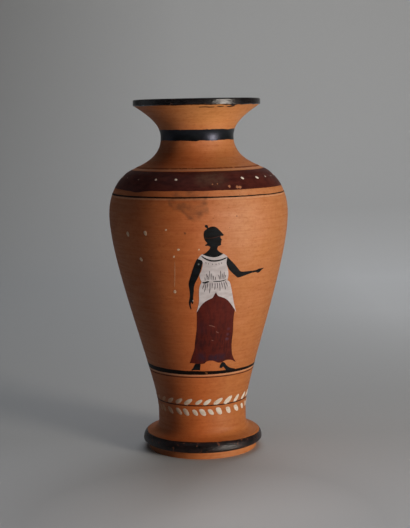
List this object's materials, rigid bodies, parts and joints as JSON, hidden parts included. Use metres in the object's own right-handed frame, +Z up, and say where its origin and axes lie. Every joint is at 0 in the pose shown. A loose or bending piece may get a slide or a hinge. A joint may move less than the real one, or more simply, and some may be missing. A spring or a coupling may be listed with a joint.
{
  "type": "greek-style vase",
  "caption": "Wheel-thrown pottery vase with a tall tapering belly, a flared mouth and a ringed foot, painted with bands, a garland and a standing figure.",
  "frame": {"origin": "centre of the face it stands on", "axes": "+Z up along the wheel's axis, the painted figure looks out along -Y, +X to the right of the figure as a viewer sees it"},
  "size_m": [0.1126, 0.1128, 0.2218],
  "materials": {
    "clay": "matte",
    "luting_slip": "matte",
    "black_gloss": "gloss",
    "brown_slip": "satin",
    "white_slip": "matte",
    "red_slip": "matte"
  },
  "bodies": {
    "root": {"body": "clay", "figure_belt": "brown_slip", "figure_head": "black_gloss", "figure_left_arm": "black_gloss", "figure_left_shoe": "black_gloss", "figure_peplum": "white_slip", "figure_right_arm": "black_gloss", "figure_right_shoe": "black_gloss", "figure_skirt": "red_slip", "figure_tunic": "white_slip", "foot": "clay", "foot_gloss": "black_gloss", "foot_luting_slip": "luting_slip", "ground_fine_line": "brown_slip", "ground_line": "black_gloss", "laurel_garland": "white_slip", "lip_gloss": "black_gloss", "neck_and_mouth": "clay", "neck_gloss_band": "black_gloss", "neck_luting_slip": "luting_slip", "shoulder_band": "brown_slip", "shoulder_dot_01": "white_slip", "shoulder_dot_02": "white_slip", "shoulder_dot_03": "white_slip", "shoulder_dot_04": "white_slip", "shoulder_dot_05": "white_slip", "shoulder_dot_06": "white_slip", "shoulder_dot_07": "white_slip", "shoulder_dot_08": "white_slip", "shoulder_dot_09": "white_slip", "shoulder_dot_10": "white_slip", "shoulder_dot_11": "white_slip", "shoulder_dot_12": "white_slip", "shoulder_dot_13": "white_slip", "shoulder_dot_14": "white_slip", "shoulder_dot_15": "white_slip", "shoulder_dot_16": "white_slip", "shoulder_dot_17": "white_slip", "shoulder_dot_18": "white_slip", "shoulder_dot_19": "white_slip", "shoulder_dot_20": "white_slip", "shoulder_dot_21": "white_slip", "shoulder_dot_22": "white_slip", "shoulder_lower_line": "black_gloss", "shoulder_upper_line": "brown_slip"}
  },
  "joints": []
}
